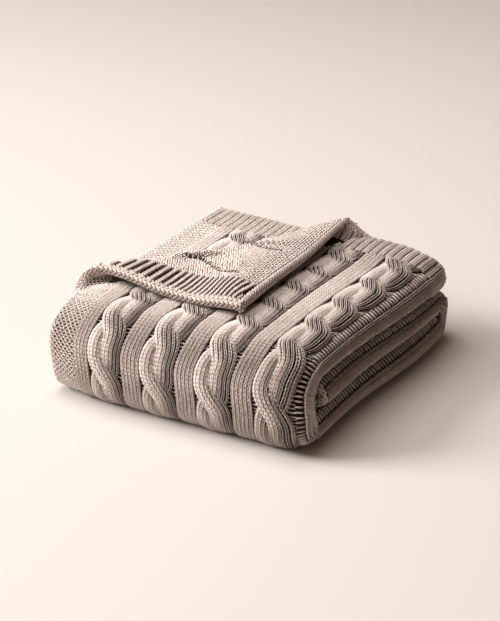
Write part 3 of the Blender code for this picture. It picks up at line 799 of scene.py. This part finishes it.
# painted light and shade for each piece: pieces that get less light, as the right-hand cables, are painted
# darker, and the seed-stitch border is painted lighter
paintedLightAndShadeByPiece = {"cablesRight": -0.20, "cablesMiddle": -0.04, "cablesLeft": -0.04, "mossBorder": 0.16,
              "turnedCorner": -0.05, "ribbedHems": -0.05, "selvages": -0.05}


# each leg's points in its own flat plane: turn is its angle from the y axis, and tip
# raises its far end
def legPlane(x, y, turn, length, width, height, sink, tip):
    columns = [np.asarray(value, float) for value in (x, y, turn, length, width, height, sink, tip)]
    x, y, turn, length, width, height, sink, tip = [
        value.reshape(-1, 1) for value in np.broadcast_arrays(*columns)]
    u, v, w = leg["points"].T
    run, side = u * length, v * width
    sine, cosine = np.sin(turn), np.cos(turn)
    return x + run * sine + side * cosine, y + run * cosine - side * sine, w * height + sink + 2.0 * u * tip


def addLegs(piece, points, length, width):
    count = points.shape[0]
    # a random tone for each leg, plus its piece's painted light and shade
    tone = chance.normal(0.0, stitch["tone"], count) + paintedLightAndShadeByPiece.get(piece, 0.0)
    sizes = [np.broadcast_to(value, count) for value in (length, width)]
    batches.setdefault(piece, []).append((points, *sizes, tone))


# all of a piece's legs in one mesh, facing outwards, each with its length and girth in
# millimetres as its map
def finishStitches(piece, material):
    points, length, width, tone = [np.concatenate(parts) for parts in zip(*batches[piece])]
    count, size = points.shape[:2]
    centred = points - points.mean(axis=1, keepdims=True)
    corners = centred[:, leg["faces"]]
    volume = np.einsum("nfk,nfk->n", corners[:, :, 0], np.cross(corners[:, :, 1], corners[:, :, 2]))
    faces = np.where(volume[:, None, None] > 0, leg["faces"][None], leg["faces"][None, :, ::-1])
    u, v, w = leg["points"].T
    spans = ((u, length), (np.arctan2(v, w + leaf["mapCentre"]), width))
    maps = [(shape[None] * real[:, None]) * 1000.0 for shape, real in spans]
    strandMap = np.stack([np.take_along_axis(each, faces.reshape(count, -1), 1) for each in maps], axis=-1)
    faces = faces + (np.arange(count) * size)[:, None, None]
    # each leg's random tone, with the leaf's painted shade and highlight added point by point
    made = meshFromArrays(piece, points.reshape(-1, 3), faces.reshape(-1, 3), material,
                          (tone[:, None] + leg["tone"]).ravel(), strandMap)
    print(f"{piece}: {count} legs, {count * len(leg['faces'])} triangles")
    return made


stitch = {"size": {"length": 0.0088, "width": 0.0026, "height": 0.0056, "sink": -0.0022, "tip": 0.0010},
          "lean": math.radians(7), "spread": 0.202, "tone": 0.06,
          "wander": 0.00010, "turnWander": math.radians(1.2), "looseness": (0.0003, 0.07)}


# the two legs of each stitch, leaning apart
def knitLegs(x, y, wale):
    x, y = np.repeat(x, 2), np.repeat(y, 2)
    side = np.tile([-1.0, 1.0], len(x) // 2)
    wander = chance.normal(0.0, 1.0, (3, len(x)))
    x = x + side * wale * stitch["spread"] + wander[0] * stitch["wander"]
    return x, y + wander[1] * stitch["wander"], side * stitch["lean"] + wander[2] * stitch["turnWander"]


# single bars lie more loosely, in place and in turn
def scatter(x, y, turn, place=stitch["looseness"][0], turning=stitch["looseness"][1]):
    wander = chance.normal(0.0, 1.0, (3, len(x)))
    return x + wander[0] * place, y + wander[1] * place, turn + wander[2] * turning


def grid(columns, rows):
    x, y = np.meshgrid(columns, rows, indexing="ij")
    return x.ravel(), y.ravel()


# flat places carried to one face of the cloth, above the pattern's own height there
def onFace(outer, across, along, up, rise):
    return carry(across, along, (1.0 if outer else -1.0) * (cloth["half"] + rise + up))


# how much of its height the pattern keeps, on either face
def keptShare(outer, across, d, along):
    return outerShare(across, along) if outer else smooth(pastRidge(d, along), *shown["baredSlope"])


def level(rise):
    return lambda d, along: rise + 0.0 * d


rows = np.arange(cloth["hem"] + cloth["rowHeight"] / 2, runEnd - cloth["endMargin"], cloth["rowHeight"])


# the kept legs' points, made in their own plane and set in place by a function
def layLegs(piece, x, y, turn, size, keep, setPoints):
    if keep.any():
        size = {**stitch["size"], **size}
        size = {key: np.broadcast_to(value, x.shape)[keep] for key, value in size.items()}
        flat = legPlane(x[keep], y[keep], np.broadcast_to(turn, x.shape)[keep], **size)
        addLegs(piece, setPoints(*flat), size["length"], size["width"])


# legs laid on the cloth at a distance from the side edge, on one of its faces
def layOn(piece, d, y, turn, riseAt, size, seen=seenOuter, outer=True, mirror=False):
    def setPoints(px, py, pw):
        d, along = flatWidth - px if mirror else px, alongAt(py)
        return onFace(outer, px, along, pw, riseAt(d, along) * keptShare(outer, px, d, along))
    across = flatWidth - d if mirror else d
    layLegs(piece, across, y, turn, size, seen(across, alongAt(y)), setPoints)


# the settings that lay legs on the bared part of the lower sheet
bared = {"seen": seenBared, "outer": False, "mirror": True}

# Plain bands: one beside the border, one between each two cables and one at the fold
band = {"edgeDrop": 0.0014, "dropMost": 1.2, "legWidth": 0.325, "wales": (4, 5, 2),
        "margin": 0.0036, "borderMargin": 0.0008, "ladderMargin": 0.0006,
        "foldFrom": 0.4, "baredTo": 0.25}     # where the bands are doubled for the other faces


def bandStrips():
    margin, wales = band["margin"], band["wales"]
    strips = [(cloth["mossWidth"] + band["borderMargin"], cloth["cableStart"] - margin, wales[0])]
    for number in range(cloth["cables"] - 1):
        start = cloth["cableStart"] + number * cloth["repeat"] + cloth["cableWidth"]
        strips.append((start + margin, start + cloth["repeat"] - cloth["cableWidth"] - margin, wales[1]))
    return strips + [(ladder["end"] - band["ladderMargin"], foldLine, wales[2])]


def bandCrown(start, end):
    def riseAt(d, along):
        bent = np.clip(np.abs(d - (start + end) / 2) / ((end - start) / 2), 0.0, band["dropMost"])
        return cloth["bandRise"] - band["edgeDrop"] * bent ** 4
    return riseAt


def knitStrip(piece, start, end, wales, **face):
    wale = (end - start) / wales
    d, y = grid(start + (np.arange(wales) + 0.5) * wale, rows)
    layOn(piece, *knitLegs(d, y, wale), bandCrown(start, end), {"width": wale * band["legWidth"]}, **face)


for start, end, wales in bandStrips():
    knitStrip("plainBands", start, end, wales)
    if start > band["foldFrom"]:
        knitStrip("plainBands", start, end, wales, mirror=True)
    if start < band["baredTo"]:
        knitStrip("plainBands", start, end, wales, **bared)

# Seed stitch: legs leaning left and right by turns, which leave a lattice of small holes
moss = {"column": 0.0044, "row": 0.0044, "lean": 0.82, "start": 0.0069, "margin": 0.0019,
        "leg": {"length": 0.0067, "width": 0.0026, "height": 0.0034, "sink": -0.0012, "tip": 0.0}}


def mossLegs(columns, rowPlaces):
    x, y = grid(columns, rowPlaces)
    column, row = grid(np.arange(len(columns)), np.arange(len(rowPlaces)))
    return scatter(x, y, np.where((column + row) % 2 == 0, moss["lean"], -moss["lean"]))


mossColumns = evenly(moss["start"], cloth["mossWidth"] - moss["margin"], moss["column"])
mossRows = evenly(cloth["hem"], runEnd - cloth["hem"], moss["row"])
for face in ({}, bared):
    layOn("mossBorder", *mossLegs(mossColumns, mossRows), level(cloth["mossRise"]), moss["leg"], **face)


def grooveBars(piece, number, side, **face):
    cycle, crossing = cableCycle(np.full(len(rows), number), rows)
    edges = [strandRun(front, cycle, crossing) for front in (True, False)]
    edge = np.max([half + side * centre for centre, height, half in edges], axis=0)
    gap = groove["side"] - edge + groove["overlap"]
    place = cableMiddle(number) + side * (groove["side"] + groove["overlap"] / 2 - gap / 2)
    raised = np.clip(groove["raise"] * (gap - groove["raiseFrom"]), 0.0, groove["raiseMost"])
    size = {**groove["bar"], "length": np.maximum(gap + groove["reach"], groove["shortest"]),
            "sink": groove["bar"]["sink"] + raised}
    bars = scatter(place, rows, math.pi / 2, turning=groove["turning"])
    layOn(piece, *bars, level(groove["rise"]), size, **face)


for number in range(cloth["cables"]):
    for side in (-1.0, 1.0):
        grooveBars("purlBars", number, side)
        if number < cloth["baredCables"]:
            grooveBars("purlBars", number, side, **bared)

ladderRows = np.arange(cloth["hem"] + ladder["firstRow"], runEnd - cloth["endMargin"], ladder["row"])
for face in ({}, {"mirror": True}):
    bars = scatter(*grid([(ladder["start"] + ladder["end"]) / 2], ladderRows), math.pi / 2)
    layOn("purlBars", *bars, level(ladder["rise"]), ladder["bar"], **face)

# Ribbed hems: a raised rib of two wales, then a sunk column of purl bars
hem = {"wale": 0.0050, "ribSide": 0.0027, "legWidth": 0.6, "firstRow": 0.006, "row": 0.0054,
       "firstRib": 0.006, "foldReach": 0.05, "baredReach": 0.27,
       "bar": {"length": 0.0062, "width": 0.0030, "height": 0.0022, "sink": -0.0012}}


def hemLegs(piece, stop, **face):
    hemRows = np.arange(hem["firstRow"], cloth["hem"], hem["row"])
    pitch = cloth["ribPitch"]
    first = -math.floor(cloth["cableStart"] / pitch)
    ribs = cloth["cableStart"] + np.arange(first, first + round(flatWidth / pitch)) * pitch
    ribs = ribs[(ribs > hem["firstRib"]) & (ribs < stop)]
    for side in (-1.0, 1.0):
        legs = knitLegs(*grid(ribs + side * hem["ribSide"], hemRows), hem["wale"])
        layOn(piece, *legs, hemRise, {"width": hem["wale"] * hem["legWidth"]}, **face)
    bars = scatter(*grid(ribs + pitch / 2, hemRows), math.pi / 2)
    layOn(piece, *bars, hemRise, hem["bar"], **face)


def seenAtFold(across, along):
    return across < foldLine + hem["foldReach"]


hemLegs("ribbedHems", foldLine)
hemLegs("ribbedHems", foldLine, seen=seenAtFold, mirror=True)
hemLegs("ribbedHems", hem["baredReach"], **bared)
print("bands, borders, grooves and hems laid")


# lengths round a strand's cross-section, against the angle from its middle line
def arcTable():
    turns = np.linspace(-math.pi / 2, math.pi / 2, strand["turnSteps"])
    tall = cloth["cableRise"] * np.cos(turns) ** strand["flat"]
    steps = np.hypot(np.diff(strand["half"] * np.sin(turns)), np.diff(tall))
    arcs = np.concatenate([[0.0], np.cumsum(steps)])
    return turns, arcs - arcs[-1] / 2


arcTurns, arcLengths = arcTable()


# a place on a strand, by its length round it: the strand's middle and half-width there,
# the height, and how far it leans to the side
def strandPlace(front, cycle, crossing, arcPlace):
    centre, height, half = strandRun(front, cycle, crossing)
    angle = np.interp(arcPlace, arcLengths, arcTurns)
    return centre, half, cloth["cableRise"] * height * np.cos(angle) ** strand["flat"], np.sin(angle)


# the wales of a cable's two strands, laid along each strand and round it
def cableLegs(piece, number, lastCycle, seen=seenOuter, outer=True, mirror=False):
    middle, crossing = cableMiddle(number), cloth["crossings"][number]
    reach = np.interp(strand["reach"], arcTurns, arcLengths)
    arcs = np.linspace(-reach, reach, strand["wales"])
    wale = arcs[1] - arcs[0]
    size = {**stitch["size"], "width": wale * band["legWidth"]}
    fine = np.linspace(0.0, 1.0, strand["steps"])
    centre = strandRun(True, fine, crossing)[0]
    lengths = np.concatenate([[0.0], np.cumsum(np.hypot(np.diff(centre), np.diff(fine) * crossing))])
    rowCount = round(lengths[-1] / cloth["rowHeight"])
    rowCycles = np.interp((np.arange(rowCount) + 0.5) / rowCount * lengths[-1], lengths, fine)
    stretch = np.gradient(lengths, fine * crossing)
    turns = [(cycle, front) for cycle in range(lastCycle) for front in (True, False)]
    for cycleNumber, front in turns:
        firstRun = cloth["firstCrossings"][number] + (cycleNumber - 1) * crossing
        arcPlace, cycle = grid(arcs, rowCycles)
        arcPlace, y, turn = knitLegs(arcPlace, cycle * crossing, wale)
        cycle = y / crossing
        centre, half, own, leanOut = strandPlace(front, cycle, crossing, arcPlace)
        offset = centre + half * leanOut
        otherCentre, otherHeight, otherHalf = strandRun(not front, cycle, crossing)
        other = cloth["cableRise"] * otherHeight * strandRounding(offset, otherCentre, otherHalf)
        d, along = middle + offset, alongAt(y + firstRun)
        inside = (along > cloth["hem"]) & (along < flatLength - cloth["endMargin"])
        keep = (other - own < strand["hidden"]) & seen(flatWidth - d if mirror else d, along) & inside
        if not keep.any():
            continue
        arcPlace, y, turn, cycle = arcPlace[keep], y[keep], turn[keep], cycle[keep]
        px, py, pw = legPlane(arcPlace, 0.0 * y, turn, **size)
        py = y[:, None] + py / np.interp(cycle, fine, stretch)[:, None]
        centre, half, rise, leanOut = strandPlace(front, py / crossing, crossing, px)
        d = middle + (centre + half * leanOut + pw * leanOut * strand["leanOut"])
        across, along = flatWidth - d if mirror else d, alongAt(py + firstRun)
        rise = rise * keptShare(outer, across, d, along)
        up = pw * (1.0 - strand["leanDown"] * np.abs(leanOut))
        addLegs(piece, onFace(outer, across, along, up, rise), size["length"], size["width"])


cycles = math.ceil(runEnd / min(cloth["crossings"])) + 1
for number, piece in enumerate(("cablesLeft", "cablesLeft", "cablesMiddle", "cablesRight")):
    cableLegs(piece, number, cycles)
cableLegs("cablesRight", 3, cycles, mirror=True)
for number in range(cloth["baredCables"]):
    cableLegs("cablesBared", number, cloth["baredCycles"], **bared)
print("cables laid")

# The flap: ribs along its front edge, seed stitch along its right edge, and the
# purl side of plain knitting between them and round the roll
flap = {"rib": {"length": 0.0092, "height": 0.0034, "sink": -0.0014}, "ribWidth": 0.58, "ribRow": 0.0060,
        "firstRib": 0.010, "purl": {"length": 0.0054, "width": 0.0026, "height": 0.0028, "sink": -0.0010},
        "purlColumn": 0.0044, "purlRow": 0.0038, "purlScatter": (0.0005, 0.25), "margin": 0.002,
        "edge": 0.004, "reach": 0.44, "mossSpread": 0.036, "spreading": (0.10, 0.24)}
frontAcross = np.array([-frontRun[1], frontRun[0]])
rightAcross = np.array([-rightRun[1], rightRun[0]])


def layOnFlap(piece, x, y, turn, size, keep):
    def setPoints(px, py, pw):
        across, along = flapToCloth(px, py)
        return onFace(False, across, along, pw, flapRiseAt(across, along))
    layLegs(piece, x, y, turn, size, keep, setPoints)


# the distances from the flap's two free edges, and whether the place is on the cloth
def flapDistances(x, y):
    across, along = flapToCloth(x, y)
    room = (pastRidge(across, along) > flap["edge"]) & (across > 0.0) & (along > 0.0)
    return *flapEdges(x, y), room


def fromFlapFront(run, depth):
    return [flapLeft[k] + frontRun[k] * run + frontAcross[k] * depth for k in (0, 1)]


def mossEdge(fromFront):
    return flapHem["mossWidth"] + flap["mossSpread"] * smooth(fromFront, *flap["spreading"])


def makeFlap(piece):
    lean = math.atan2(frontAcross[0], frontAcross[1])
    ribs = np.interp(np.arange(1, math.floor(ribCounts[-1])), ribCounts, ribFine)
    run, depth = grid(ribs, np.arange(flap["firstRib"], flapHem["end"], flap["ribRow"]))
    wale = np.repeat(np.interp(run, ribFine, ribPitches), 2) / 2
    run, depth, turn = knitLegs(run, depth, wale)
    x, y = fromFlapFront(run, depth)
    fromFront, fromRight, room = flapDistances(x, y)
    size = {**flap["rib"], "width": flap["ribWidth"] * wale}
    layOnFlap(piece, x, y, turn + lean, size, room & (fromRight > flapHem["rim"]))

    columns = np.arange(0.0, flap["reach"], flap["purlColumn"])
    lines = np.arange(flapHem["end"] + flap["margin"], flap["reach"], flap["purlRow"])
    run, depth = grid(columns, lines)
    run = run + (grid(columns, np.arange(len(lines)))[1] % 2) * flap["purlColumn"] / 2
    x, y, turn = scatter(*fromFlapFront(run, depth), lean + math.pi / 2, *flap["purlScatter"])
    fromFront, fromRight, room = flapDistances(x, y)
    inPurl = (fromRight > mossEdge(fromFront)) & ~inHoles(run, depth)
    layOnFlap(piece, x, y, turn, flap["purl"], room & inPurl)

    widest = flapHem["mossWidth"] + flap["mossSpread"]
    columns = np.arange(flapHem["rim"] + flap["margin"], widest, moss["column"])
    depth, run, turn = mossLegs(columns, np.arange(0.0, flap["reach"], moss["row"]))
    x, y = [flapTip[k] + rightRun[k] * run + rightAcross[k] * depth for k in (0, 1)]
    fromFront, fromRight, room = flapDistances(x, y)
    inMoss = (fromFront > flapHem["end"]) & (fromRight < mossEdge(fromFront)) & ~inHoles(*flapRunDepth(x, y))
    layOnFlap(piece, x, y, turn + math.atan2(rightRun[0], rightRun[1]), moss["leg"], room & inMoss)

    for line in holeLines:
        run = np.arange(line[0, 0], line[-1, 0], holes["threadPitch"])
        slope = np.interp(run, line[:, 0], np.gradient(line[:, 1], line[:, 0]))
        x, y = fromFlapFront(run, np.interp(run, line[:, 0], line[:, 1]))
        layOnFlap(piece, x, y, lean - np.arctan(slope), holes["thread"], np.full(x.shape, True))


makeFlap("turnedCorner")

# Selvages: a braid of fat legs wrapped round each edge of the cloth
rim = {"radius": 0.0050, "pitch": 0.0084, "angles": (-124, -76, -26, 26, 76, 124),
       "turn": math.radians(34), "turning": 0.05, "steps": 2000,
       "leg": {"length": 0.0125, "width": 0.0064, "height": 0.0042, "sink": -0.0018, "tip": 0.0}}


# a strip wrapped round an edge: arcPlace is measured round it from its outermost line
def rimPoints(edge, arcPlace, run, up):
    quarter = rim["radius"] * math.pi / 2
    angle = np.clip(arcPlace, -quarter, quarter) / rim["radius"]
    reach = rim["radius"] - (rim["radius"] + up) * np.cos(angle) + np.maximum(np.abs(arcPlace) - quarter, 0.0)
    lift = (cloth["half"] + up) * np.sin(angle)
    if edge in ("left", "right"):
        return carry(reach if edge == "left" else flatWidth - reach, run, lift)
    return carry(run, reach if edge == "start" else flatLength - reach, lift)


def rimLegs(piece, edge, length):
    fine = np.linspace(0.0, length, rim["steps"])
    line = rimPoints(edge, 0.0 * fine, fine, 0.0 * fine)
    lengths = np.concatenate([[0.0], np.cumsum(np.linalg.norm(np.diff(line, axis=0), axis=1))])
    count = round(lengths[-1] / rim["pitch"])
    for number, angle in enumerate(rim["angles"]):
        even = (np.arange(count) + 0.5 * (number % 2)) / count * lengths[-1]
        arcPlace = np.full(count, math.radians(angle) * rim["radius"])
        turn = rim["turn"] * (1 if number % 2 else -1) + chance.normal(0.0, rim["turning"], count)
        px, py, pw = legPlane(arcPlace, even, turn, **rim["leg"])
        run = np.interp(py, lengths, fine)
        addLegs(piece, rimPoints(edge, px, run, pw), rim["leg"]["length"], rim["leg"]["width"])


for edge, length in (("left", flatLength), ("right", flatLength), ("start", flatWidth), ("end", flatWidth)):
    rimLegs("selvages", edge, length)
print("flap and selvages laid")

madePieces = [finishStitches(piece, yarn) for piece in list(batches)]

# The camera, then the floor and the lights
shot = {"azimuth": 30, "elevation": 23, "distance": 2.864, "focal": 1790, "target": (-0.0053, -0.0177, 0.075),
        "targetPixel": (247, 325), "picture": (500, 621), "sensor": 36.0, "farthest": 100.0}


def makeCamera():
    azimuth, elevation = math.radians(shot["azimuth"]), math.radians(shot["elevation"])
    outward, upward = math.cos(elevation), math.sin(elevation)
    back = Vector((math.sin(azimuth) * outward, -math.cos(azimuth) * outward, upward))
    right = Vector((math.cos(azimuth), math.sin(azimuth), 0.0))
    up = back.cross(right)
    shiftX = (shot["targetPixel"][0] - shot["picture"][0] / 2) / shot["focal"]
    shiftY = (shot["picture"][1] / 2 - shot["targetPixel"][1]) / shot["focal"]
    ray = -back + right * shiftX + up * shiftY
    data = bpy.data.cameras.new("camera")
    data.sensor_width = shot["sensor"]
    data.lens = shot["focal"] / max(shot["picture"]) * data.sensor_width
    camera = bpy.data.objects.new("camera", data)
    camera.matrix_world = Matrix((right, up, back)).transposed().to_4x4()
    camera.location = Vector(shot["target"]) - ray * shot["distance"]
    bpy.context.scene.collection.objects.link(camera)
    bpy.context.scene.camera = camera
    data.clip_end = shot["farthest"]


makeCamera()

# Matte seamless paper, without a pattern
paperLook = {"colour": "#BFB9B4", "roughness": 0.9, "size": 18.0}
paper = newMaterial("matteSeamlessPaper", **{"Base Color": hexColour(paperLook["colour"]),
                                             "Roughness": paperLook["roughness"]})[0]
bpy.ops.object.select_all(action="DESELECT")
bpy.ops.mesh.primitive_plane_add(size=paperLook["size"])
floor = bpy.context.object
floor.name = "floor"
floor.data.materials.append(paper)

studio = {
    "key": {"place": (-6.0, -3.2, 4.1), "size": 3.4, "power": 1060, "colour": "#FFFDFC"},
    "top": {"place": (-0.9, -0.3, 3.2), "size": 2.5, "power": 116, "colour": "#FFF8F2"},
    "fill": {"place": (-1.2, -3.2, 0.6), "size": 1.6, "power": 20, "colour": "#FFE6D2"},
    "world": {"colour": "#FFDCC0", "strength": 0.17}, "aim": (0.0, 0.0, 0.08),
}


def makeLights():
    for name in ("key", "top", "fill"):
        values = studio[name]
        data = bpy.data.lights.new(name, "AREA")
        data.size = values["size"]
        data.energy = values["power"]
        data.color = hexColour(values["colour"])[:3]
        light = bpy.data.objects.new(name, data)
        light.location = values["place"]
        light.rotation_mode = "QUATERNION"
        away = Vector(values["place"]) - Vector(studio["aim"])
        light.rotation_quaternion = away.to_track_quat("Z", "Y")
        bpy.context.scene.collection.objects.link(light)
    world = bpy.data.worlds.new("studio")
    world.use_nodes = True
    backdrop = world.node_tree.nodes["Background"]
    backdrop.inputs["Color"].default_value = hexColour(studio["world"]["colour"])
    backdrop.inputs["Strength"].default_value = studio["world"]["strength"]
    bpy.context.scene.world = world


makeLights()
bpy.context.scene.view_settings.view_transform = "Standard"
print("floor, lights and camera placed")

for piece in [knitGround, *madePieces]:
    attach(piece, "root")
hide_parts("knit_blanket")
